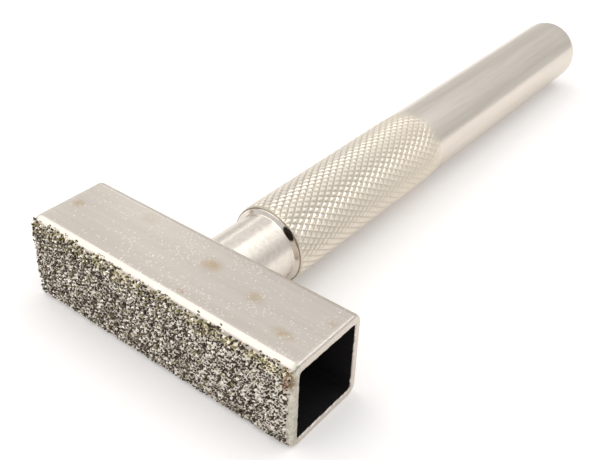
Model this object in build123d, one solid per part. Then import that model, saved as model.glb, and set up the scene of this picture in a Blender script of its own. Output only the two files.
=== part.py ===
"""Hand dresser for grinding wheels, in millimetres.

A short length of square steel tube carries a rough face of diamond grit held in plated nickel.
A turned steel handle with a diamond knurl stands off the middle of the opposite wall. Its tenon
passes through that wall and is peened over inside the tube, which makes a T of the two pieces.

Frame: the tool lies flat. The origin is the middle of the head's underside, +X runs along the
head towards the end with the bare strip, +Y runs along the handle away from the grit, +Z is up.
"""

import os
from math import cos, pi, radians, sin, tan
from random import Random

from build123d import *

# Head: square tube, sawn to length and deburred
head_length = 45.0
head_side = 13.0
head_wall = 1.1
head_corner_radius = 1.2
bore_corner_radius = 0.5
sawn_edge_break = 0.2

# Handle: one turned bar. Its lengths follow one another from the head's rear wall to the butt
neck_radius = 5.2
neck_length = 9.45
shoulder_length = 0.12
shoulder_chamfer = 0.06
shoulder_drop = 0.15
relief_length = 0.08
relief_depth = 0.3
knurl_length = 38.4
runout_length = 0.3
runout_drop = 0.1
shank_radius = 6.0
shank_length = 55.1
butt_round = 1.8

# Knurl: two families of V grooves that cross and leave pointed diamonds
knurl_teeth = 36
knurl_raise = 0.15
knurl_depth = 0.22
knurl_helix_angle = 30.0

# Tenon: through the head's rear wall, peened over inside
tenon_radius = 3.5
tenon_clearance = 0.05
peen_flare = 1.1
peen_height = 1.0
peen_round = 0.45

# Grit coat: plated nickel with crystals standing out of it, feathered at its border
coat_thickness = 0.5
coat_valley = 0.16
coat_unevenness = 0.16
coat_bare_strip = 1.1
coat_overhang = 0.45
coat_top_wrap = 52.0
coat_foot_wrap = 44.0
coat_border_wander = 0.35
grain_pitch = 0.78
grain_wander = 0.3
grain_seed = 11

head_front = -head_side / 2
head_rear = head_side / 2
axis_height = head_side / 2
shoulder_radius = shank_radius - shoulder_drop
relief_radius = shank_radius - relief_depth
knurl_start = neck_length + shoulder_length + relief_length
knurl_end = knurl_start + knurl_length
shank_start = knurl_end + runout_length
shank_end = shank_start + shank_length


def head_tube():
    """Square tube: the rounded outline less its bore, sawn edges broken, drilled for the tenon."""
    bore_side = head_side - 2 * head_wall
    outline = RectangleRounded(head_side, head_side, head_corner_radius)
    bore = RectangleRounded(bore_side, bore_side, bore_corner_radius)
    section = Plane.YZ * Pos(0, axis_height) * (outline - bore)
    tube = extrude(section, head_length / 2, both=True)
    tube = chamfer(tube.faces().filter_by(Axis.X).edges(), sawn_edge_break)
    drill = Cylinder(tenon_radius + tenon_clearance, 2 * head_wall, rotation=(90, 0, 0))
    return tube - Pos(0, head_rear - head_wall / 2, axis_height) * drill


def turned(*points):
    """Solid of revolution about the handle's axis, from (distance behind the wall, radius)."""
    corners = [(0, head_rear + distance, axis_height + radius) for distance, radius in points]
    section = make_face(Polyline(*corners, close=True))
    return revolve(section, Axis((0, 0, axis_height), (0, 1, 0)))


def neck_and_tenon():
    """Front of the bar: peened head, tenon, neck, chamfered shoulder and relief groove."""
    wall_inside = -head_wall
    peen_top = wall_inside - peen_height
    peen_radius = tenon_radius + peen_flare
    front = turned(
        (peen_top, 0),
        (peen_top, peen_radius),
        (wall_inside, peen_radius),
        (wall_inside, tenon_radius),
        (0, tenon_radius),
        (0, neck_radius),
        (neck_length, neck_radius),
        (neck_length, shoulder_radius - shoulder_chamfer),
        (neck_length + shoulder_chamfer, shoulder_radius),
        (neck_length + shoulder_length, shoulder_radius),
        (neck_length + shoulder_length, relief_radius),
        (knurl_start, relief_radius),
        (knurl_start, 0),
    )
    peen_edge = front.edges().filter_by(GeomType.CIRCLE).sort_by(Axis.Y)[0]
    return fillet(peen_edge, peen_round)


def shank():
    """Rear of the bar: run-out cone behind the knurl, plain shank and rounded butt."""
    rear = turned(
        (knurl_end, 0),
        (knurl_end, shank_radius - runout_drop),
        (shank_start, shank_radius),
        (shank_end, shank_radius),
        (shank_end, 0),
    )
    butt_edge = rear.edges().filter_by(GeomType.CIRCLE).sort_by(Axis.Y)[-1]
    return fillet(butt_edge, butt_round)


def polygon(*corners):
    """Flat face through the corners, seen anticlockwise from outside the solid."""
    return Face(Wire.make_polygon([Vector(*corner) for corner in corners], close=True))


def knurled_band():
    """Pointed diamonds on a cylinder.

    The grooves of both families cross on rings that lie half a diamond apart. Going round a
    ring, crossings at the groove's root and points at the crest take turns, and the next ring
    starts with the other kind. Each cell of that grid folds along the groove that crosses it.
    The two end rings lie wholly at the root, which bevels the band's ends.
    """
    crest_radius = shank_radius + knurl_raise
    root_radius = crest_radius - knurl_depth
    half_tooth = pi / knurl_teeth
    half_diamond = crest_radius * half_tooth / tan(radians(knurl_helix_angle))
    rings = max(2, round(knurl_length / half_diamond))
    ring_step = knurl_length / rings
    places = 2 * knurl_teeth

    def point(ring, place):
        at_root = (ring + place) % 2 == 0 or ring in (0, rings)
        radius = root_radius if at_root else crest_radius
        angle = place * half_tooth
        y = head_rear + knurl_start + ring * ring_step
        return (radius * sin(angle), y, axis_height + radius * cos(angle))

    faces = [
        polygon(*(point(0, place) for place in reversed(range(places)))),
        polygon(*(point(rings, place) for place in range(places))),
    ]
    for ring in range(rings):
        for place in range(places):
            near, near_next = point(ring, place), point(ring, place + 1)
            far, far_next = point(ring + 1, place), point(ring + 1, place + 1)
            if (ring + place) % 2 == 0:
                faces += [polygon(near, near_next, far_next), polygon(near, far_next, far)]
            else:
                faces += [polygon(near, near_next, far), polygon(near_next, far_next, far)]
    return Solid(Shell(faces))


def handle():
    """The whole bar as one solid."""
    return neck_and_tenon() + knurled_band() + shank()


def coat_rows():
    """Where the coat's rows touch the tube, from foot to top, as (y, z).

    The foot and top rows lie on the tube's rounded corners. The rows between lie on the plane
    of its front wall, out to where that plane meets the tangents of the foot and top rows.
    """
    low_centre = head_corner_radius
    high_centre = head_side - head_corner_radius

    def on_corner(centre, wrap):
        y = head_front + head_corner_radius * (1 - cos(radians(wrap)))
        return (y, centre + head_corner_radius * sin(radians(wrap)))

    low = low_centre - head_corner_radius * tan(radians(coat_foot_wrap) / 2)
    high = high_centre + head_corner_radius * tan(radians(coat_top_wrap) / 2)
    steps = max(2, round((high - low) / grain_pitch))
    front = [(head_front, low + (high - low) * step / steps) for step in range(steps + 1)]
    return [on_corner(low_centre, -coat_foot_wrap), *front, on_corner(high_centre, coat_top_wrap)]


def coat_seats(luck):
    """Grid of the coat's points on the tube's side, by column and row.

    The border wanders a little, and past the far end it swells out over the upper half.
    """
    rows = coat_rows()
    top = len(rows) - 1
    far, near = -head_length / 2, head_length / 2 - coat_bare_strip
    columns = max(4, round((near - far) / grain_pitch))

    def seat(column, row):
        y, z = rows[row]
        x = far + (near - far) * column / columns
        if column == 0:
            x -= coat_overhang * max(0, sin(2 * pi * (z / head_side - 0.45)))
        if column == columns:
            x -= luck.random() * coat_border_wander
        if row in (0, top):
            inner_y, inner_z = rows[1 if row == 0 else top - 1]
            share = luck.random() * coat_border_wander
            y += (inner_y - y) * share
            z += (inner_z - z) * share
        return (x, y, z)

    return [[seat(column, row) for row in range(top + 1)] for column in range(columns + 1)]


def coat_crests(seats, luck):
    """The same grid on the outer side: grains and valleys take turns inside the border.

    The rows over the folds in the coat's back keep their height, so that no facet cuts a fold.
    """
    last_column, top = len(seats) - 1, len(seats[0]) - 1

    def crest(column, row):
        x, y, z = seats[column][row]
        if column in (0, last_column) or row in (0, top):
            return (x, y, z)
        if (column + row) % 2 == 0:
            lift = coat_thickness - luck.random() * coat_unevenness
        else:
            lift = coat_valley + luck.random() * coat_unevenness
        x += luck.uniform(-grain_wander, grain_wander) / 2
        if row not in (1, top - 1):
            z += luck.uniform(-grain_wander, grain_wander) / 2
        return (x, y - lift, z)

    return [[crest(column, row) for row in range(top + 1)] for column in range(last_column + 1)]


def coat_back(seats, low, high):
    """Flat on the tube's side between two rows of seats, as one face."""
    last_column = len(seats) - 1
    foot = [seats[column][low] for column in range(last_column + 1)]
    near_side = [seats[last_column][row] for row in range(low + 1, high)]
    head = [seats[column][high] for column in reversed(range(last_column + 1))]
    far_side = [seats[0][row] for row in range(high - 1, low, -1)]
    return polygon(*reversed(foot + near_side + head + far_side))


def diamond_coat():
    """Rough sheet of facets on the tube's front wall, closed by three flats that touch the tube.

    A cell folds between its two valleys, so that grains come to a point. A corner cell folds from
    its corner inwards, so that no facet lies flat on the tube.
    """
    luck = Random(grain_seed)
    seats = coat_seats(luck)
    crests = coat_crests(seats, luck)
    last_column, top = len(seats) - 1, len(seats[0]) - 1
    faces = [coat_back(seats, *rows) for rows in ((1, top - 1), (0, 1), (top - 1, top))]
    for column in range(last_column):
        for row in range(top):
            a, b = crests[column][row], crests[column + 1][row]
            d, c = crests[column][row + 1], crests[column + 1][row + 1]
            at_corner = column in (0, last_column - 1) and row in (0, top - 1)
            rises = (column == 0) == (row == 0) if at_corner else (column + row) % 2 == 1
            if rises:
                faces += [polygon(a, b, c), polygon(a, c, d)]
            else:
                faces += [polygon(a, b, d), polygon(b, c, d)]
    return Solid(Shell(faces))


os.makedirs("parts", exist_ok=True)
for name, piece in {
    "head_tube": head_tube(),
    "handle": handle(),
    "diamond_coat": diamond_coat(),
}.items():
    export_step(piece, f"parts/{name}.step")
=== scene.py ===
import bpy
import numpy as np
from mathutils import Euler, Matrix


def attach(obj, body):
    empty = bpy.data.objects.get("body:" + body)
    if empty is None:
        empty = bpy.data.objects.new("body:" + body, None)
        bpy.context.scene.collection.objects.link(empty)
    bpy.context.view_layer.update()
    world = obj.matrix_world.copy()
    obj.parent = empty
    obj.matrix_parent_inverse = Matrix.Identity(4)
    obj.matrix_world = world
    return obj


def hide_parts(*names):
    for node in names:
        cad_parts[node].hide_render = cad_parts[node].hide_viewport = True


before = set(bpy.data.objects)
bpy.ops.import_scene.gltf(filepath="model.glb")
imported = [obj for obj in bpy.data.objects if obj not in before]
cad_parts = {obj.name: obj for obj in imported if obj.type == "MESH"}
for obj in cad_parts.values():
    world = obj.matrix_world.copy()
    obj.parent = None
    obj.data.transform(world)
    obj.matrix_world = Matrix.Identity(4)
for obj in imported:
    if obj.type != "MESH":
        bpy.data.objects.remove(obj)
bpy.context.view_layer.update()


# Head: a length of square steel tube, drawn with rounded corners, sawn to length and its sawn
# edges broken. It is nickel plated; the plating hardly reaches the bore, which stays dark, its
# near-black colour also painted shade.
mm = 0.001  # the lengths in this file are in millimetres
head_length = 45.0
head_end = head_length / 2
head_side = 13.0
head_half = head_side / 2
head_wall = 1.1
head_corner = 1.4
bore_corner = 0.5
bore_shift = (0.14, -0.24)
sawn_round = 0.42
bore_round = 0.26
burr_width = 0.7
side_samples = 90
corner_samples = 11
outside_samples = 60
edge_samples = 5
end_samples = 9
bore_samples = 30
bore_crowding = 0.35


def rounded_square():
    """Goes once round a rounded square, anticlockwise seen from +X, starting at the underside.

    Returns (y, z) pairs: the point of a square that reaches from -1 to 1, and the outward normal.
    The outline is (half side - corner radius) * square + corner radius * normal, so the square
    stands still while the normal turns round a corner, and the other way about on a side.
    """
    quarter = np.arange(4)[:, None] * np.pi / 2 - np.pi / 2
    position = np.concatenate([np.linspace(-1, 1, side_samples), np.ones(corner_samples)])
    bend = np.arange(1, corner_samples + 1) / (corner_samples + 1) * np.pi / 2
    turn = quarter + np.concatenate([np.zeros(side_samples), bend])
    facing = np.stack([np.cos(quarter), np.sin(quarter)], -1)
    sideways = np.stack([-np.sin(quarter), np.cos(quarter)], -1)
    square = facing + sideways * position[None, :, None]
    normal = np.stack([np.cos(turn), np.sin(turn)], -1)
    return square.reshape(-1, 2), normal.reshape(-1, 2)


def quarter_arc(samples):
    """Sine and cosine of angles from 0 to 90 degrees, ends left out."""
    angle = np.arange(1, samples + 1) / (samples + 1) * np.pi / 2
    return np.sin(angle), np.cos(angle)


def wall_section():
    """The closed line round the tube's wall, cut lengthwise, as x and depth below the outside.

    It runs along the outside, round the sawn edge, down the end, round the bore's edge and back
    through the bore, where its points crowd towards the edge. The other half is the same line
    turned about the middle.
    """
    sine, cosine = quarter_arc(edge_samples)
    bore_share = np.linspace(1, 0, bore_samples)[:-1] ** bore_crowding
    x = np.concatenate(
        [
            np.linspace(0, head_end - sawn_round, outside_samples),
            head_end - sawn_round + sawn_round * sine,
            np.full(end_samples, head_end),
            head_end - bore_round + bore_round * cosine,
            (head_end - bore_round) * bore_share,
        ]
    )
    depth = np.concatenate(
        [
            np.zeros(outside_samples),
            sawn_round - sawn_round * cosine,
            np.linspace(sawn_round, head_wall - bore_round, end_samples),
            head_wall - bore_round + bore_round * sine,
            np.full(bore_samples - 1, head_wall),
        ]
    )
    both_ends = np.concatenate([x, [0.0], -x[:0:-1]])
    return both_ends, np.concatenate([depth, [head_wall], depth[:0:-1]])


def wander(along, periods, seed):
    """Sum of sines of the given periods with phases by chance, between about -1 and 1."""
    phases = np.random.default_rng(seed).uniform(0, 2 * np.pi, len(periods))
    waves = [np.sin(2 * np.pi * along / period + phase) for period, phase in zip(periods, phases)]
    return sum(waves) / len(waves) ** 0.5


def add_piece(name, points, faces, smooth=True):
    """Makes an object of points in millimetres and of faces that list their corners."""
    mesh = bpy.data.meshes.new(name)
    mesh.from_pydata((points * mm).tolist(), [], faces)
    mesh.polygons.foreach_set("use_smooth", np.full(len(mesh.polygons), smooth))
    piece = bpy.data.objects.new(name, mesh)
    bpy.context.scene.collection.objects.link(piece)
    return piece


def grid_faces(rows, columns, closed_rows=False, closed_columns=False):
    """Four corners of each cell of a grid of points, numbered row by row."""
    row = np.arange(rows if closed_rows else rows - 1)[:, None]
    column = np.arange(columns if closed_columns else columns - 1)[None, :]
    next_row, next_column = (row + 1) % rows, (column + 1) % columns
    corners = [
        row * columns + column,
        row * columns + next_column,
        next_row * columns + next_column,
        next_row * columns + column,
    ]
    return np.stack(corners, -1).reshape(-1, 4)


# The outline and the wall's section make a grid that closes both ways. The saw left a burr on
# the bore's edge, deepest at the rear and the foot, which dies out into the bore.
square, normal = rounded_square()
section_x, section_depth = wall_section()
from_end = head_end - np.abs(section_x)
round_the_bore = np.linspace(0, 4 * head_side, len(square), endpoint=False)
coarse_burr = wander(round_the_bore, [1.7, 2.3, 3.1, 5.2], 3) * 0.5
fine_burr = wander(round_the_bore, [0.9, 1.3], 4) * 0.25
at_rear = np.clip(normal[:, 0], 0, 1)
at_foot = np.clip(-normal[:, 1], 0, 1)
burr = (coarse_burr + fine_burr) * (0.07 + 0.09 * at_rear + 0.10 * at_foot)
burr_share = np.exp(-from_end / burr_width) * (section_depth / head_wall) ** 3
depth = section_depth[:, None] + burr_share[:, None] * burr
half = head_half - depth
inwards = depth / head_wall
radius = head_corner + (bore_corner - head_corner) * inwards
head_x = np.broadcast_to(section_x[:, None], depth.shape)
head_y = (half - radius) * square[:, 0] + radius * normal[:, 0] + bore_shift[0] * inwards
head_z = head_half + (half - radius) * square[:, 1] + radius * normal[:, 1]
head_z = head_z + bore_shift[1] * inwards
head_points = np.stack([head_x, head_y, head_z], -1).reshape(-1, 3)
head_faces = grid_faces(len(section_x), len(square), closed_rows=True, closed_columns=True)
head_tube = add_piece("head_tube_plated", head_points, head_faces.tolist())
in_the_bore = (section_depth >= head_wall - 0.001) & (from_end > bore_round)
bore_material = np.repeat(in_the_bore, len(square)).astype(np.int32)
head_tube.data.polygons.foreach_set("material_index", bore_material)


class Signal:
    """A socket's output. Arithmetic on it adds Math nodes to its tree."""

    def __init__(self, finish, socket):
        self.finish = finish
        self.socket = socket

    def math(self, operation, *others):
        """A Math node of that operation, with this signal as its first value."""
        inputs = dict(enumerate((self, *others)))
        return self.finish.node("ShaderNodeMath", {"operation": operation}, inputs)

    def __add__(self, other):
        return self.math("ADD", other)

    def __radd__(self, other):
        return self.math("ADD", other)

    def __mul__(self, other):
        return self.math("MULTIPLY", other)

    def __rmul__(self, other):
        return self.math("MULTIPLY", other)

    def __sub__(self, other):
        return self.math("SUBTRACT", other)

    def __rsub__(self, other):
        inputs = {0: other, 1: self}
        return self.finish.node("ShaderNodeMath", {"operation": "SUBTRACT"}, inputs)

    def ramp(self, low, high):
        """Smooth step: 0 below low, 1 above high. With low above high it falls instead."""
        inputs = {"Value": self, "From Min": min(low, high), "From Max": max(low, high)}
        if low > high:
            inputs = {**inputs, "To Min": 1.0, "To Max": 0.0}
        settings = {"interpolation_type": "SMOOTHSTEP"}
        return self.finish.node("ShaderNodeMapRange", settings, inputs)


class Finish:
    """The node tree of a material or of the surroundings, emptied and built up again."""

    def __init__(self, tree):
        self.tree = tree
        tree.nodes.clear()

    def node(self, kind, settings=None, inputs=None, output=0):
        """Adds a node of that type: its settings first, then values or links of its sockets."""
        made = self.tree.nodes.new(kind)
        for name, value in (settings or {}).items():
            if name == "stops":
                self.set_stops(made.color_ramp, value)
            else:
                setattr(made, name, value)
        for name, value in (inputs or {}).items():
            if isinstance(value, Signal):
                self.tree.links.new(value.socket, made.inputs[name])
            else:
                made.inputs[name].default_value = value
        return Signal(self, made.outputs[output]) if len(made.outputs) else None

    def set_stops(self, ramp, stops):
        """Gives a colour ramp its stops, each a position and a colour."""
        while len(ramp.elements) < len(stops):
            ramp.elements.new(0.5)
        for element, (position, colour) in zip(ramp.elements, stops):
            element.position = position
            element.color = (*colour, 1.0)

    def place(self, scale=(1, 1, 1), shift=(0, 0, 0)):
        """Object coordinates in millimetres, each times its scale, then shifted."""
        coordinates = self.node("ShaderNodeTexCoord", output="Object")
        per_metre = tuple(share / mm for share in scale)
        inputs = {"Vector": coordinates, "Scale": per_metre, "Location": shift}
        return self.node("ShaderNodeMapping", {}, inputs)

    def axis(self, vector, number):
        """One coordinate of a vector: number 0 is x, 1 is y and 2 is z."""
        return self.node("ShaderNodeSeparateXYZ", {}, {0: vector}, output=number)

    def noise(self, place, detail, roughness, scale=1.0):
        """Noise at a place, from 0 to 1 and mostly near 0.5."""
        inputs = {"Vector": place, "Scale": scale, "Detail": detail, "Roughness": roughness}
        return self.node("ShaderNodeTexNoise", {}, inputs)

    def attribute(self, name, output="Fac"):
        """What the mesh holds under that name, as a number, a colour or its alpha."""
        return self.node("ShaderNodeAttribute", {"attribute_name": name}, output=output)

    def blend(self, share, colour, other, mode="MIX"):
        """The first colour where the share is 0 and the other where it is 1."""
        settings = {"data_type": "RGBA", "blend_type": mode}
        return self.node("ShaderNodeMix", settings, {0: share, 6: colour, 7: other}, output=2)

    def blot(self, centre, reach):
        """A soft spot, 1 at its centre and 0 at its reach, both in millimetres."""
        shift = tuple(-middle / size for middle, size in zip(centre, reach))
        place = self.place(tuple(1 / size for size in reach), shift)
        distance = self.node("ShaderNodeVectorMath", {"operation": "LENGTH"}, {0: place}, output=1)
        return distance.ramp(1.0, 0.0)

    def bump(self, height, strength, distance):
        """The surface's direction, tilted by a height; the distance is in millimetres."""
        inputs = {"Strength": strength, "Distance": distance * mm, "Height": height}
        return self.node("ShaderNodeBump", {}, inputs)

    def rays(self, kind):
        """1 for light rays of that kind and 0 for others."""
        return self.node("ShaderNodeLightPath", output=kind)

    def principled(self, inputs):
        """Ends a material in a Principled shader with those inputs."""
        shader = self.node("ShaderNodeBsdfPrincipled", {}, inputs)
        self.node("ShaderNodeOutputMaterial", {}, {"Surface": shader})


def new_material(name):
    """A material, and the finish that builds its nodes."""
    material = bpy.data.materials.new(name)
    material.use_nodes = True
    return material, Finish(material.node_tree)


drawn_nickel = (0.620, 0.560, 0.502, 1)
pale_drawn_nickel = (0.662, 0.600, 0.541, 1)
cloud_colour = (0.66, 0.61, 0.53, 1)
mottle_colour = (0.80, 0.76, 0.70, 1)
streak_colour = (0.74, 0.69, 0.63, 1)
dull_colour = (0.60, 0.54, 0.48, 1)
stain_colour = (0.53, 0.41, 0.27, 1)
rust_colour = (0.42, 0.25, 0.14, 1)
painted_pimple_highlight_colour = (0.96, 0.92, 0.84, 1)
strip_colour = (0.44, 0.45, 0.35, 1)
rusty_corner_colour = (0.24, 0.17, 0.11, 1)
nickel_glance = (0.94, 0.92, 0.89, 1)

# Marks on the head's top: x, y, reach along x, reach along y and strength of each.
pale_streaks = [(-14.5, 3.4, 3.5, 0.3, 1.0), (-9.0, -1.3, 13.0, 0.35, 1.0)]
dull_bands = [(-12.0, -3.4, 13.0, 1.7, 1.0), (10.0, -4.3, 13.0, 0.9, 1.0)]
rust_spots = [(3.6, -4.6, 0.85, 0.6, 1.0)]
brown_stains = [
    (2.9, 1.6, 2.3, 1.8, 1.0),
    (11.2, 0.2, 1.9, 1.7, 0.75),
    (17.8, -2.6, 2.5, 1.3, 0.85),
    (-20.3, 0.0, 1.4, 1.2, 1.0),
    (-10.3, 3.6, 2.2, 1.8, 0.3),
    (21.2, 2.4, 1.3, 1.2, 0.5),
]


def top_marks(finish, marks):
    """Sum of soft spots on the head's top, each times its strength."""
    return sum(
        finish.blot((x, y, head_side), (reach_x, reach_y, 1.0)) * strength
        for x, y, reach_x, reach_y, strength in marks
    )


def pimple_layer(finish, crowded, scale, reach, least, share):
    """Round pimples at the middles of a Voronoi pattern's cells.

    A cell has one if its own draw is above the least value; crowding adds its share to the draw.
    """
    inputs = {"Vector": finish.place(), "Scale": scale}
    distance = finish.node("ShaderNodeTexVoronoi", {}, inputs)
    chance = finish.node("ShaderNodeTexVoronoi", {}, inputs, output="Color")
    draw = finish.node("ShaderNodeSeparateColor", {}, {0: chance})
    shown = (draw + crowded * share).ramp(least, least + 0.06)
    return distance.ramp(reach, reach * 0.25) * shown


def plated_head_finish():
    """Satin nickel over drawn steel: lengthwise drawing lines, pimples in clusters with painted
    highlights, stains.
    """
    material, finish = new_material("satin_nickel_on_drawn_tube")
    lines = finish.noise(finish.place((0.03, 1.1, 1.1)), 3.0, 0.6)
    fine_lines = finish.noise(finish.place((0.08, 6.0, 6.0)), 2.0, 0.5)
    clouds = finish.noise(finish.place((0.20, 0.30, 0.30)), 3.0, 0.6)
    mottle = finish.noise(finish.place((1.3, 1.3, 1.3)), 3.0, 0.6)
    lumps = finish.noise(finish.place((1.6, 1.6, 1.6)), 4.0, 0.65)
    crowd = finish.noise(finish.place((0.22, 0.3, 0.3), (4.0, 1.0, 0.0)), 1.0, 0.5)
    along = finish.axis(finish.place(), 0)
    back = finish.axis(finish.place(), 1)
    crowded = crowd.ramp(0.45, 0.68) * along.ramp(-20.0, -2.0)
    small_pimples = pimple_layer(finish, crowded, 2.6, 0.45, 0.84, 0.6)
    large_pimples = pimple_layer(finish, crowded, 1.5, 0.32, 0.88, 0.4)
    pimples = small_pimples + large_pimples
    near_end = along.math("ABSOLUTE").ramp(21.5, 22.0)
    bare_strip = near_end * back.ramp(-5.0, -5.6) * lumps.ramp(0.42, 0.58)
    rusty_corner = finish.blot((22.1, -6.5, 10.9), (0.9, 1.2, 1.6)) * lumps.ramp(0.3, 0.55)
    stains = top_marks(finish, brown_stains) * mottle.ramp(0.2, 0.6)
    rust = top_marks(finish, rust_spots) * mottle.ramp(0.3, 0.6)
    colour = finish.blend(lines.ramp(0.3, 0.7), drawn_nickel, pale_drawn_nickel)
    colour = finish.blend(clouds.ramp(0.35, 0.75) * 0.35, colour, cloud_colour)
    colour = finish.blend(mottle.ramp(0.55, 0.75) * 0.18, colour, mottle_colour)
    colour = finish.blend(top_marks(finish, pale_streaks) * 0.35, colour, streak_colour)
    colour = finish.blend(top_marks(finish, dull_bands) * 0.5, colour, dull_colour)
    colour = finish.blend(stains, colour, stain_colour)
    colour = finish.blend(rust, colour, rust_colour)
    # Painted highlight: the pimples are lightened in colour as well as raised by the bump, for the
    # glints they catch.
    colour = finish.blend(pimples * 0.45, colour, painted_pimple_highlight_colour)
    colour = finish.blend(bare_strip * 0.75, colour, strip_colour)
    colour = finish.blend(rusty_corner * 1.5, colour, rusty_corner_colour)
    height = fine_lines * 0.12 + lines * 0.5 + mottle * 1.2 + pimples * 2.5
    height = height + near_end * lumps * 8.0
    finish.principled(
        {
            "Base Color": colour,
            "Metallic": 1.0,
            "Roughness": 0.18 + lines * 0.05 + fine_lines * 0.04 + near_end * 0.1,
            "Specular Tint": nickel_glance,
            "Normal": finish.bump(height, 0.25, 0.02),
        }
    )
    return material


scale_and_painted_shade_colour = (0.006, 0.005, 0.007, 1)
dust_colour = (0.016, 0.014, 0.015, 1)


def bore_finish():
    """Dark mill scale inside the tube, with a little dust, made near black as painted shade in the
    bore.
    """
    material, finish = new_material("dark_scale_and_painted_shade_in_bore")
    dust = finish.noise(finish.place((0.5, 2.0, 2.0)), 4.0, 0.6)
    colour = finish.blend(dust, scale_and_painted_shade_colour, dust_colour)
    finish.principled({"Base Color": colour, "Roughness": 0.85, "Specular IOR Level": 0.15})
    return material


head_tube.data.materials.append(plated_head_finish())
head_tube.data.materials.append(bore_finish())
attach(head_tube, "root")
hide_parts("head_tube")


# Nickel bed of the grit: the plating that was built up on the tube's front wall to hold the
# grains. It rises round every grain and leaves pits between them, and its border is ragged.
grain_pitch = 0.415
row_pitch = grain_pitch * 0.87
grain_jitter = 0.30
cell_widening = 0.28
grain_skew = 0.25
fill_start = -12.0
fill_length = 30.0
olive_start = 3.9
olive_width = 1.5
sheet_step = 0.09
coat_end_round = 0.42
coat_end_fold = 0.35
coat_reach_up = 6.95
coat_reach_down = -6.75
coat_top = 6.02
coat_top_slope = 0.012
coat_foot = -6.25
coat_bare_strip = 0.95
border_blur = 0.3
border_sunk = 0.10
bed_low = np.array([-22.945, -6.995, 0.0])
bed_high = np.array([22.5, 0.0, 12.995])
luck = np.random.default_rng(11)

# The unrolled sheet's left border lies a little way down the tube's end, past the sawn edge.
sheet_left = -head_end + coat_end_round - coat_end_round * np.pi / 2 - coat_end_fold


def on_sheet(along, around):
    """Where a point of the unrolled sheet lies on the tube, and the way that it faces there.

    Around the section it follows the flat of the front wall from its middle up or down, then the
    corner's arc. Along the tube it follows x, then the arc of the sawn edge, then the end face.
    """
    flat = head_half - head_corner
    wrap = np.clip(np.abs(around) - flat, 0, None) / head_corner
    out_y, out_z = -np.cos(wrap), np.sign(around) * np.sin(wrap)
    y = -head_half + head_corner * (1 - np.cos(wrap))
    z = head_half + np.clip(around, -flat, flat) + head_corner * out_z
    past = np.clip(-head_end + coat_end_round - along, 0, None)
    bend = np.clip(past / coat_end_round, 0, np.pi / 2)
    past_arc = np.clip(past - coat_end_round * np.pi / 2, 0, None)
    sunk = coat_end_round * (1 - np.cos(bend)) + past_arc
    x = np.where(past > 0, -head_end + coat_end_round - coat_end_round * np.sin(bend), along)
    place = np.stack([x, y - out_y * sunk, z - out_z * sunk], -1)
    facing = np.stack([-np.sin(bend), out_y * np.cos(bend), out_z * np.cos(bend)], -1)
    return place, facing


def inside_coat(along, around):
    """How far inside the coat's border a point lies, in millimetres; negative outside.

    The border wanders along the top and the foot. At the right end it leaves a bare strip, which
    narrows at the upper corner and a little at the lower one.
    """
    top = coat_top - coat_top_slope * along + 0.22 * wander(along, [0.9, 1.7, 4.1, 9.0], 21)
    top = top + 0.16 * wander(along, [0.5, 0.7], 22)
    foot = coat_foot + 0.15 * wander(along, [1.1, 2.3, 5.1], 23)
    upper_corner = np.exp(-(((around - 5.6) / 1.1) ** 2))
    lower_corner = np.exp(-(((around + 6.0) / 0.8) ** 2))
    strip = coat_bare_strip - 0.8 * upper_corner - 0.3 * lower_corner
    right = head_end - strip + 0.14 * wander(around, [0.8, 1.5, 3.3], 24)
    return np.minimum(np.minimum(top - around, around - foot), right - along)


# The grains stand in rows on the sheet, every other row half a pitch on, each a little off its
# place by chance. A grain's draw decides its skin, and its steps spread the skins evenly.
columns = int((head_end - sheet_left) / grain_pitch) + 3
rows = int((coat_reach_up - coat_reach_down) / row_pitch) + 3
grid = (rows, columns)
grain_row, grain_column = np.meshgrid(np.arange(rows), np.arange(columns), indexing="ij")
grain_along = sheet_left + (grain_column - 1 + 0.5 * (grain_row % 2)) * grain_pitch
grain_around = coat_reach_down + (grain_row - 1) * row_pitch
grain_along = grain_along + luck.uniform(-grain_jitter, grain_jitter, grid) * grain_pitch
grain_around = grain_around + luck.uniform(-grain_jitter, grain_jitter, grid) * row_pitch
grain_rise = luck.uniform(0.0, 1.0, grid)
grain_draw = grain_column * 0.7549 + grain_row * 0.5698 + luck.uniform(0.0, 0.25, grid)
grain_draw = grain_draw % 1
grain_pale = luck.uniform(0.0, 1.0, grid)


def filled(along):
    """How much of the room between the grains the nickel fills: little on the left, more right."""
    return np.clip((along - fill_start) / fill_length, 0, 1)


def nearest_grains(along, around):
    """Distances to the nearest grain and to the second, and the two grains' numbers.

    Only the grid cells round each point are asked, all points at once. Where the nickel fills
    more, distances shrink along the tube and are skewed, so that cells grow wider and lean.
    """
    home_row = np.rint((around - coat_reach_down) / row_pitch).astype(int) + 1
    narrowing = 1.0 - cell_widening * filled(along)
    skew = grain_skew * filled(along)
    distances, numbers = [], []
    for row_step in (-1, 0, 1):
        row = np.clip(home_row + row_step, 0, rows - 1)
        offset = 0.5 * (row % 2)
        home_column = np.rint((along - sheet_left) / grain_pitch - offset).astype(int) + 1
        for column_step in (-1, 0, 1):
            column = np.clip(home_column + column_step, 0, columns - 1)
            aside = along - grain_along[row, column]
            above = around - grain_around[row, column]
            distances.append(np.hypot(aside * narrowing, above - skew * aside))
            numbers.append(row * columns + column)
    distances, numbers = np.stack(distances), np.stack(numbers)
    order = np.argsort(distances, axis=0)[:2]
    near = np.take_along_axis(distances, order, 0)
    return near[0], near[1], *np.take_along_axis(numbers, order, 0)


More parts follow.
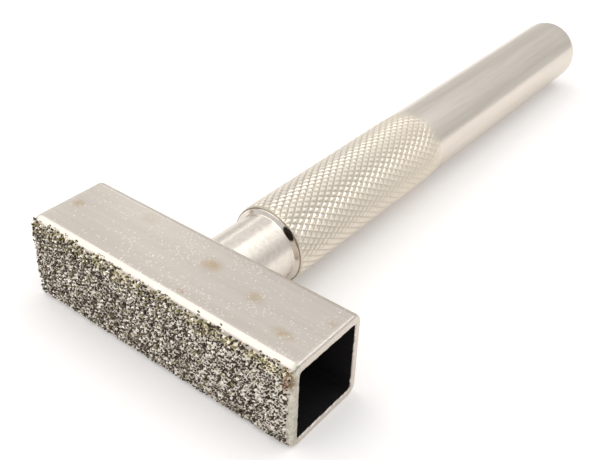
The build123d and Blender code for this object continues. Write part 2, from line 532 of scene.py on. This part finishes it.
# The bed's height is a ridge halfway between neighbouring grains plus a dome under each grain.
# Some ridges stay low, where two grains have grown together.
sheet_along = np.arange(sheet_left, head_end - 0.05, sheet_step)
sheet_around = np.arange(coat_reach_down, coat_reach_up, sheet_step)
along, around = np.meshgrid(sheet_along, sheet_around, indexing="ij")
first, second, first_grain, second_grain = nearest_grains(along, around)
first_pale = grain_pale.reshape(-1)[first_grain]
pale = (first_pale + grain_pale.reshape(-1)[second_grain]) / 2
rise = grain_rise.reshape(-1)[first_grain]
under_top = np.clip((around - olive_start) / olive_width, 0, 1)
fill = filled(along) * (1 - 0.7 * under_top)
ridge = 1 - np.clip((second - first) / ((0.62 - 0.16 * fill) * grain_pitch), 0, 1)
ridge = ridge * ridge * (3 - 2 * ridge)
grown_together = (pale * 10.6) % 1 < 0.36
ridge = ridge * np.where(grown_together, 0.15, 1.0)
dome = np.clip(1 - (first / (0.6 * grain_pitch)) ** 2, 0, 1)
nickel_grain = grain_draw.reshape(-1)[first_grain] > 0.80 + 0.10 * fill
ridge_height = ridge * (0.07 + 0.16 * fill) * (0.4 + pale)
dome_height = dome * (0.06 + 0.20 * rise) * np.where(nickel_grain, 1.3, 0.5)
share = np.clip(inside_coat(along, around) / border_blur + 0.5, 0, 1)
bed = (0.04 + ridge_height + dome_height) * share - border_sunk * (1 - share)
sheet_border = np.ones(along.shape, bool)
sheet_border[1:-1, 1:-1] = False
bed = np.where(sheet_border, -border_sunk, bed)
place, facing = on_sheet(along, around)
bed_points = np.clip(place + facing * bed[..., None], bed_low, bed_high)

# Its border lies under the tube's surface, and there flat faces close it from behind.
number = np.arange(along.size).reshape(along.shape)
front_faces = grid_faces(*along.shape)[:, [0, 3, 2, 1]]
back_faces = np.stack([number[0, 1:-2], number[0, 2:-1], number[-1, 2:-1], number[-1, 1:-2]], -1)
foot_face = [*number[::-1, 0], number[0, 1], number[-1, 1]]
top_face = [*number[:, -1], number[-1, -2], number[0, -2]]
bed_faces = front_faces.tolist() + back_faces.tolist() + [foot_face, top_face]
nickel_bed = add_piece("grit_nickel_bed", bed_points.reshape(-1, 3), bed_faces)
# The ridges' tone varies at random. Painted shade: the low nickel round each grain is left near
# black for the shade in the pits.
brightness = ridge * (0.50 + 0.7 * pale) * (0.90 + 0.25 * fill) + dome * nickel_grain * 0.7
# Painted shade: the bed darkens towards the foot, for the shadowed floor it faces there.
brightness = brightness * (0.72 + 0.28 * np.clip((around + 6.5) / 5.0, 0, 1))
olive = under_top * (0.35 + 0.65 * (first_pale > 0.4))


def give_values(piece, name, values, kind="FLOAT", field="value"):
    """Stores a number or a colour for each point of a piece, for its material to read."""
    layer = piece.data.attributes.new(name, kind, "POINT")
    layer.data.foreach_set(field, values.reshape(-1).astype(np.float32))


give_values(nickel_bed, "brightness", np.clip(brightness, 0, 1))
give_values(nickel_bed, "olive", olive)
bed_tones_and_painted_pit_shade = [
    (0.0, (0.030, 0.023, 0.015)),
    (0.26, (0.075, 0.060, 0.042)),
    (0.42, (0.62, 0.565, 0.495)),
    (1.0, (0.88, 0.83, 0.75)),
]
olive_shade = (0.78, 0.72, 0.42, 1)
rust_shade = (0.55, 0.36, 0.22, 1)


def bed_finish():
    """Nickel, bright on its ridges, with painted shade making it dark in the pits and towards the
    foot, olive under the top edge.
    """
    material, finish = new_material("nickel_round_the_grains")
    bright = finish.attribute("brightness")
    specks = finish.noise(finish.place(), 3.0, 0.6, scale=2.6)
    pores = finish.noise(finish.place(), 3.0, 0.5, scale=4.0)
    rust = finish.blot((21.9, -6.6, 10.3), (1.1, 1.0, 1.9)) * specks.ramp(0.3, 0.5)
    # Low values, painted shade in the pits and at the foot, give near-black, non-metallic nickel.
    shown = bright + (specks - 0.5) * 0.4
    colour = finish.node("ShaderNodeValToRGB", {"stops": bed_tones_and_painted_pit_shade}, {0: shown})
    colour = finish.blend(finish.attribute("olive") * 0.55, colour, olive_shade, "MULTIPLY")
    colour = finish.blend(rust, colour, rust_shade, "MULTIPLY")
    finish.principled(
        {
            "Base Color": colour,
            "Metallic": bright.ramp(0.15, 0.4),
            "Roughness": 0.30,
            "Specular IOR Level": 0.2,
            "Normal": finish.bump(pores, 0.6, 0.03),
        }
    )
    return material


nickel_bed.data.materials.append(bed_finish())
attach(nickel_bed, "root")
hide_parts("diamond_coat")


# Diamond grains: blocky crystals, sieved to one size, tacked on in the plating bath and then
# grown in. Each is a cube with its corners cut off, turned and squeezed by chance.
grain_radius = 0.172
grain_widening = 0.45
grain_roughness = 0.03
highest_grain = 6.8
lowest_grain = -6.7

# The block's points are the middles of a cube's twelve edges. Its six squares and eight
# triangles list their corners anticlockwise, seen from outside.
block_points = np.array(
    [
        (1, 1, 0), (-1, 1, 0), (-1, -1, 0), (1, -1, 0),
        (1, 0, 1), (0, 1, 1), (-1, 0, 1), (0, -1, 1),
        (1, 0, -1), (0, 1, -1), (-1, 0, -1), (0, -1, -1),
    ]
) / 2 ** 0.5
block_size = len(block_points)
block_faces = [
    (7, 4, 5, 6), (8, 11, 10, 9), (3, 8, 0, 4), (6, 1, 10, 2), (5, 0, 9, 1), (7, 2, 11, 3),
    (4, 0, 5), (5, 1, 6), (6, 2, 7), (7, 3, 4), (9, 0, 8), (10, 1, 9), (11, 2, 10), (8, 3, 11),
]


def chance_turns(count):
    """That many rotations by chance, from unit quaternions, as 3 x 3 matrices."""
    quaternion = luck.normal(size=(count, 4))
    w, x, y, z = (quaternion / np.linalg.norm(quaternion, axis=1, keepdims=True)).T
    matrix = [
        [1 - 2 * (y * y + z * z), 2 * (x * y - z * w), 2 * (x * z + y * w)],
        [2 * (x * y + z * w), 1 - 2 * (x * x + z * z), 2 * (y * z - x * w)],
        [2 * (x * z - y * w), 2 * (y * z + x * w), 1 - 2 * (x * x + y * y)],
    ]
    return np.moveaxis(np.array(matrix), -1, 0)


# Grains inside the border stay, and outside it some smaller strays do, fewer further out.
inside = inside_coat(grain_along, grain_around)
stray_chance = np.clip(1 + inside / 0.7, 0, 1) ** 2 * 0.45
kept = (inside > 0.02) | (grain_pale < stray_chance)
kept &= (grain_around < highest_grain) & (grain_around > lowest_grain)
along, around = grain_along[kept], grain_around[kept]
rise, draw = grain_rise[kept], grain_draw[kept]
fill = filled(along)
count = len(along)
shrink = np.where(inside[kept] > 0, 1.0, 0.7)[:, None, None]
size = grain_radius * luck.uniform(0.75, 1.25, (count, 1, 3)) * shrink
chipped = luck.uniform(-grain_roughness, grain_roughness, (count, block_size, 3))
blocks = np.einsum("nij,nkj->nki", chance_turns(count), block_points[None] * size + chipped)
blocks[..., 0] *= 1 + grain_widening * fill[:, None]
blocks[..., 2] += grain_skew * fill[:, None] * blocks[..., 0]
stand = 0.08 + 0.18 * rise - 0.03 * fill
place, facing = on_sheet(along, around)
grain_points = place[:, None] + facing[:, None] * stand[:, None, None] + blocks
grain_points = np.clip(grain_points, bed_low, bed_high).reshape(-1, 3)
first_corner = np.arange(count)[:, None] * block_size
grain_faces = [(first_corner + np.array(face)[None]).tolist() for face in block_faces]
grains = add_piece("diamond_grains", grain_points, sum(grain_faces, []), smooth=False)

# Red, green and blue of a grain, and whether it has a skin of nickel.
dark, brown, olive_green, grey_skin, bright_skin, rusty = np.array(
    [
        (0.050, 0.038, 0.026, 0.0),
        (0.150, 0.120, 0.080, 0.0),
        (0.260, 0.220, 0.095, 0.0),
        (0.420, 0.385, 0.340, 1.0),
        (0.900, 0.850, 0.770, 1.0),
        (0.260, 0.140, 0.075, 0.0),
    ]
)
near_top = np.clip((around - 4.3) / 1.2, 0, 1)[:, None]
pick = luck.uniform(0, 1, (count, 1))
draw, fill = draw[:, None], fill[:, None]
grain_tint = np.where(pick < 0.90, brown, olive_green)
grain_tint = np.where(pick < 0.50 + 0.25 * fill, dark, grain_tint)
grain_tint = np.where((pick > 0.35) & (pick < 0.35 + 0.40 * near_top), olive_green, grain_tint)
grain_tint = np.where(draw > 0.50 + 0.30 * fill, grey_skin, grain_tint)
grain_tint = np.where(draw > 0.78 + 0.12 * fill, bright_skin, grain_tint)
at_corner = ((along > 21.1) & (around > 2.8))[:, None]
at_corner = at_corner & (luck.uniform(0, 1, (count, 1)) < 0.8)
grain_tint = np.where(at_corner, rusty, grain_tint)
grain_tint[:, :3] *= luck.uniform(0.75, 1.25, (count, 1))
tint_values = np.repeat(np.clip(grain_tint, 0, 1), block_size, axis=0)
give_values(grains, "grain_colour", tint_values, "FLOAT_COLOR", "color")


def grain_finish():
    """Hard glassy crystals, some under a skin of nickel, each with its own colour."""
    material, finish = new_material("diamond_crystal")
    finish.principled(
        {
            "Base Color": finish.attribute("grain_colour", "Color"),
            "Metallic": finish.attribute("grain_colour", "Alpha"),
            "Roughness": 0.25,
            "IOR": 1.4,
            "Specular Tint": (0.85, 0.74, 0.58, 1),
        }
    )
    return material


grains.data.materials.append(grain_finish())
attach(grains, "root")
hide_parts("diamond_coat")


# Handle: one bar of bright steel, turned down to a neck and a tenon, its grip knurled by two
# wheels that cross, its butt rounded. The tenon is peened over inside the tube. Nickel plated.
axis_height = head_half
tenon_radius = 3.5
peen_radius = 4.6
peen_height = 1.0
peen_round = 0.45
neck_radius = 5.2
neck_length = 9.45
shoulder_cone = 0.34
shoulder_length = 0.12
shoulder_radius = 5.85
relief_radius = 5.7
relief_length = 0.08
knurl_length = 38.4
knurl_rings = 42
knurl_teeth = 36
knurl_crest = 6.14
knurl_depth = 0.157
knurl_land = 0.35
knurl_fade_rings = 4
knurl_cell_cuts = 4
runout_length = 0.3
shank_radius = 6.0
shank_length = 55.1
butt_round = 2.4

# Distances behind the head's rear wall, where the bar leaves the tube.
peen_top = -head_wall - peen_height
cone_start = neck_length - shoulder_cone
shoulder_end = neck_length + shoulder_length
knurl_start = shoulder_end + relief_length
knurl_end = knurl_start + knurl_length
shank_start = knurl_end + runout_length
shank_end = shank_start + shank_length


def corner_arc(y, radius, size, start, samples=6):
    """Quarter circle of a turned edge about (y, radius), from 90 degrees past the start back.

    Its first point is left out, because it ends the stretch before it.
    """
    angle = np.radians(start + np.linspace(0, 90, samples))
    arc = np.stack([y + size * np.cos(angle), radius + size * np.sin(angle)], -1)
    return arc[::-1][1:]


def run(start, end, samples=2):
    """Straight stretch of the bar's profile, both ends included."""
    return np.linspace(start, end, samples)


# The profile as (distance, radius). Points a few hundredths apart keep a turned edge crisp.
front_profile = np.concatenate(
    [
        run((peen_top, 1.0), (peen_top, peen_radius - peen_round), 4),
        corner_arc(peen_top + peen_round, peen_radius - peen_round, peen_round, 90),
        run((-head_wall - 0.02, peen_radius), (-head_wall, tenon_radius), 3),
        run((-0.02, tenon_radius), (-0.02, neck_radius), 3),
        run((0, neck_radius), (cone_start, neck_radius), 24),
        run((cone_start + 0.03, neck_radius + 0.01), (neck_length, shoulder_radius - 0.10), 7),
        run((neck_length + 0.05, shoulder_radius - 0.03), (neck_length + 0.10, shoulder_radius)),
        run((shoulder_end, shoulder_radius - 0.03), (shoulder_end, relief_radius + 0.02)),
        run((shoulder_end + 0.02, relief_radius), (knurl_start - 0.02, relief_radius)),
    ]
)
rear_profile = np.concatenate(
    [
        run((knurl_end + 0.02, shank_radius), (shank_start, shank_radius)),
        run((shank_start + 0.04, shank_radius), (shank_end - butt_round, shank_radius), 24),
        corner_arc(shank_end - butt_round, shank_radius - butt_round, butt_round, 0, 14),
        run((shank_end, shank_radius - butt_round - 0.1), (shank_end, 1.0), 4),
    ]
)


def end_fade(ring):
    """1 along the knurl, falling evenly to 0 over its last rings."""
    return np.clip((knurl_rings - ring) / knurl_fade_rings, 0, 1)[:, None]


def knurl_radius(ring, place):
    """Radius over the knurled band, with ring and place counted in half diamonds.

    Grooves of both families cross where ring + place is even. Inside a cell the height above
    the root grows with the distance from the groove that runs through it, up to a small worn
    land on the point. The first ring lies at the root; the last rings fade into the shank.
    """
    along = ring[:, None] % 2
    around = place[None, :] % 2
    falling = np.abs((along - around + 1) % 2 - 1)
    rising = np.abs((along + around + 1) % 2 - 1)
    height = np.minimum(np.minimum(falling, rising) / (1 - knurl_land), 1)
    start = np.clip(ring, 0, 1)[:, None]
    pattern = knurl_crest - knurl_depth + knurl_depth * height * start
    return shank_radius + (pattern - shank_radius) * end_fade(ring)


# The whole bar is one grid: rings along it, and places round it.
places = 2 * knurl_teeth * knurl_cell_cuts
angle = np.arange(places) * 2 * np.pi / places
knurl_ring = np.linspace(0, knurl_rings, knurl_rings * knurl_cell_cuts + 1)
knurl_radii = knurl_radius(knurl_ring, np.arange(places) / knurl_cell_cuts)
knurl_y = knurl_start + knurl_ring * knurl_length / knurl_rings
bar_y = np.concatenate([front_profile[:, 0], knurl_y, rear_profile[:, 0]])
front_radii = np.broadcast_to(front_profile[:, 1:], (len(front_profile), places))
rear_radii = np.broadcast_to(rear_profile[:, 1:], (len(rear_profile), places))
bar_radius = np.concatenate([front_radii, knurl_radii, rear_radii])
bar_points = np.stack(
    [
        bar_radius * np.sin(angle),
        np.broadcast_to(head_half + bar_y[:, None], bar_radius.shape),
        axis_height + bar_radius * np.cos(angle),
    ],
    -1,
)
ends = [(0, head_half + bar_y[0], axis_height), (0, head_half + bar_y[-1], axis_height)]
bar_points = np.concatenate([bar_points.reshape(-1, 3), ends])

# Each cell of the knurl folds along the groove that crosses it, and fans close the two ends.
bar_faces = grid_faces(len(bar_y), places, closed_columns=True)
knurl_first = len(front_profile) * places
knurl_count = knurl_rings * knurl_cell_cuts * places
knurl_last = knurl_first + knurl_count
knurl_quads = bar_faces[knurl_first:knurl_last]
cell_ring = np.arange(knurl_count) // places // knurl_cell_cuts
cell_place = np.arange(knurl_count) % places // knurl_cell_cuts
rising = ((cell_ring + cell_place) % 2 == 0)[:, None]
half_quads = [
    np.where(rising, knurl_quads[:, [0, 1, 2]], knurl_quads[:, [0, 1, 3]]),
    np.where(rising, knurl_quads[:, [0, 2, 3]], knurl_quads[:, [1, 2, 3]]),
]
last_ring = (len(bar_y) - 1) * places
turn = np.arange(places)
next_turn = (turn + 1) % places
front_centre = np.full(places, len(bar_points) - 2)
butt_centre = np.full(places, len(bar_points) - 1)
front_fan = np.stack([next_turn, turn, front_centre], -1)
butt_fan = np.stack([turn + last_ring, next_turn + last_ring, butt_centre], -1)
plain_faces = [bar_faces[:knurl_first], bar_faces[knurl_last:], front_fan, butt_fan]
face_lists = [faces.tolist() for faces in plain_faces + half_quads]
bar = add_piece("handle_bar", bar_points, sum(face_lists, []))
in_knurl = np.arange(len(bar.data.polygons)) >= sum(len(faces) for faces in plain_faces)
bar.data.polygons.foreach_set("use_smooth", ~in_knurl)

# The valley value is 1 at a groove's root and 0 on the lands and off the knurl.
valley_depth = np.clip((knurl_crest - knurl_radii) / knurl_depth, 0, 1) * end_fade(knurl_ring)
valley = np.zeros(len(bar_points))
valley[knurl_first : knurl_first + valley_depth.size] = valley_depth.reshape(-1)
give_values(bar, "valley", valley)

bar_nickel = (0.69, 0.63, 0.565, 1)
pale_bar_nickel = (0.74, 0.68, 0.61, 1)
grip_colour = (0.735, 0.675, 0.585, 1)
far_grip_colour = (0.76, 0.68, 0.56, 1)
neck_blotch_colour = (0.82, 0.77, 0.69, 1)
groove_darkening_colour = (0.36, 0.28, 0.19, 1)
relief_groove_shade_colour = (0.22, 0.18, 0.12, 1)
painted_dark_reflection_colour = (0.03, 0.026, 0.02, 1)


def bar_finish():
    """Bright nickel over turned steel: fine turning rings, long faint rub marks, warm tone.

    The grip is warmer and rougher, more so towards its far end. The knurl's grooves are darker
    brown, the relief groove is darkened as painted shade, and a black patch on the shoulder is a
    painted reflection.
    """
    material, finish = new_material("bright_nickel_on_turned_bar")
    rings = finish.noise(finish.place((0.2, 8.0, 0.2)), 2.0, 0.6)
    rubs = finish.noise(finish.place((1.2, 0.05, 1.2)), 3.0, 0.6)
    blotches = finish.noise(finish.place(), 4.0, 0.65, scale=1.6)
    along = finish.axis(finish.place(), 1)
    neck = along.ramp(16.2, 15.6)
    shoulder = along.ramp(15.55, 15.65) * along.ramp(16.1, 16.0)
    groove = along.ramp(16.04, 16.08) * along.ramp(16.26, 16.16)
    grip = along.ramp(16.0, 16.3) * along.ramp(55.5, 52.5)
    groove_darkening = finish.attribute("valley").ramp(0.55, 0.95) * along.ramp(52.0, 24.0)
    # Painted reflection: a black patch on the polished shoulder face, standing in for the dark
    # reflection seen there.
    painted_dark_reflection = finish.blot((3.8, 15.9, 10.4), (1.6, 0.45, 1.9)).ramp(0.1, 0.4)
    colour = finish.blend(rubs.ramp(0.3, 0.7), bar_nickel, pale_bar_nickel)
    colour = finish.blend(grip, colour, grip_colour)
    colour = finish.blend(grip * along.ramp(36.0, 52.0) * 0.5, colour, far_grip_colour)
    colour = finish.blend(neck * blotches.ramp(0.4, 0.6) * 0.5, colour, neck_blotch_colour)
    # The knurl's grooves are made darker brown towards their roots, less so towards the far end.
    colour = finish.blend(groove_darkening * 0.36, colour, groove_darkening_colour)
    # Painted shade: the relief groove's colour is darkened for the shade in that narrow groove.
    colour = finish.blend(groove * 0.8, colour, relief_groove_shade_colour)
    colour = finish.blend(painted_dark_reflection, colour, painted_dark_reflection_colour)
    roughness = 0.20 + rubs * 0.04 + neck * 0.03 - shoulder * 0.14
    roughness = roughness + grip * (0.06 + along.ramp(16.0, 54.0) * 0.16)
    finish.principled(
        {
            "Base Color": colour,
            "Metallic": 1.0,
            "Roughness": roughness,
            "Specular Tint": nickel_glance,
            "Normal": finish.bump(rings * 0.5 + neck * blotches * 2.0, 0.15, 0.02),
        }
    )
    return material


bar.data.materials.append(bar_finish())
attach(bar, "root")
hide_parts("handle")


# Floor: a wide sheet of white paper. It keeps the object's shadow, and a faint glow that only
# the camera and mirror-like or clear surfaces see makes it show as white.
floor_half = 1200.0
paper_colour = (0.86, 0.84, 0.825, 1)
white = (1, 1, 1, 1)
floor_corners = np.array([(-1, -1, 0), (1, -1, 0), (1, 1, 0), (-1, 1, 0)]) * floor_half
floor = add_piece("floor", floor_corners, [(0, 1, 2, 3)], smooth=False)
material, finish = new_material("white_paper")
seeing = finish.rays("Is Camera Ray") + finish.rays("Is Glossy Ray")
seeing = seeing + finish.rays("Is Transmission Ray")
paper = finish.node("ShaderNodeBsdfDiffuse", {}, {"Color": paper_colour})
glow = finish.node("ShaderNodeEmission", {}, {"Color": white, "Strength": seeing * 0.16})
glowing_paper = finish.node("ShaderNodeAddShader", {}, {0: paper, 1: glow})
finish.node("ShaderNodeOutputMaterial", {}, {"Surface": glowing_paper})
floor.data.materials.append(material)


# Surroundings: a white room, dimmer near the horizon, with soft boxes behind the handle and on
# the left. Azimuth is measured from +Y towards +X, and all angles are in degrees.
world = bpy.data.worlds.new("white_room")
world.use_nodes = True
bpy.context.scene.world = world
finish = Finish(world.node_tree)
direction = finish.node("ShaderNodeTexCoord", output="Generated")
elevation = finish.axis(direction, 2).math("ARCSINE") * (180 / np.pi)
azimuth = finish.axis(direction, 0).math("ARCTAN2", finish.axis(direction, 1)) * (180 / np.pi)


def soft_box(across, heights, edge_across, edge_below, height=elevation, edge_above=4.0):
    """A patch of the surroundings, 1 inside, between two azimuths and two heights.

    Each border is a smooth step that reaches as far as its edge's width to either side.
    """
    left, right = across
    low, high = heights
    from_left = azimuth.ramp(left - edge_across, left + edge_across)
    from_right = azimuth.ramp(right + edge_across, right - edge_across)
    from_below = height.ramp(low - edge_below, low + edge_below)
    from_above = height.ramp(high + edge_above, high - edge_above)
    return from_left * from_right * from_below * from_above


room = 0.71 + elevation.ramp(20.0, 46.0) * 0.24
room = room + azimuth.ramp(-8.0, -40.0) * elevation.ramp(38.0, 8.0) * 0.10
back_box = soft_box((-12.0, 50.0), (44.5, 95.0), 4.0, 2.0, elevation + azimuth * 0.2)
left_box = soft_box((-174.0, -59.0), (30.0, 75.0), 4.0, 5.0)
small_box = soft_box((-51.0, -42.0), (21.0, 33.0), 3.0, 3.0)
low_box = soft_box((24.0, 52.0), (21.0, 38.0), 4.0, 4.0)
back_light = back_box * (0.42 + elevation.ramp(51.0, 60.0) * 1.3)
light = room + back_light + left_box * 0.85 + small_box * 0.8 + low_box * 0.07
camera_rays = finish.rays("Is Camera Ray")
seen = light * (1 - camera_rays) + camera_rays
background = finish.node("ShaderNodeBackground", {}, {"Color": white, "Strength": seen})
finish.node("ShaderNodeOutputWorld", {}, {"Surface": background})


# Camera: where the photograph was taken from, found from the object's edges.
camera_place = (63.310, -61.155, 79.983)
camera_turn = (54.7307, -1.9158, 38.0839)
lens_data = bpy.data.cameras.new("camera")
lens_data.sensor_width = 36.0
lens_data.lens = 52.188
lens_data.clip_start = 0.005
camera = bpy.data.objects.new("camera", lens_data)
camera.location = tuple(distance * mm for distance in camera_place)
camera.rotation_euler = Euler(np.radians(camera_turn), "XYZ")
bpy.context.scene.collection.objects.link(camera)
bpy.context.scene.camera = camera
bpy.context.scene.view_settings.view_transform = "Standard"
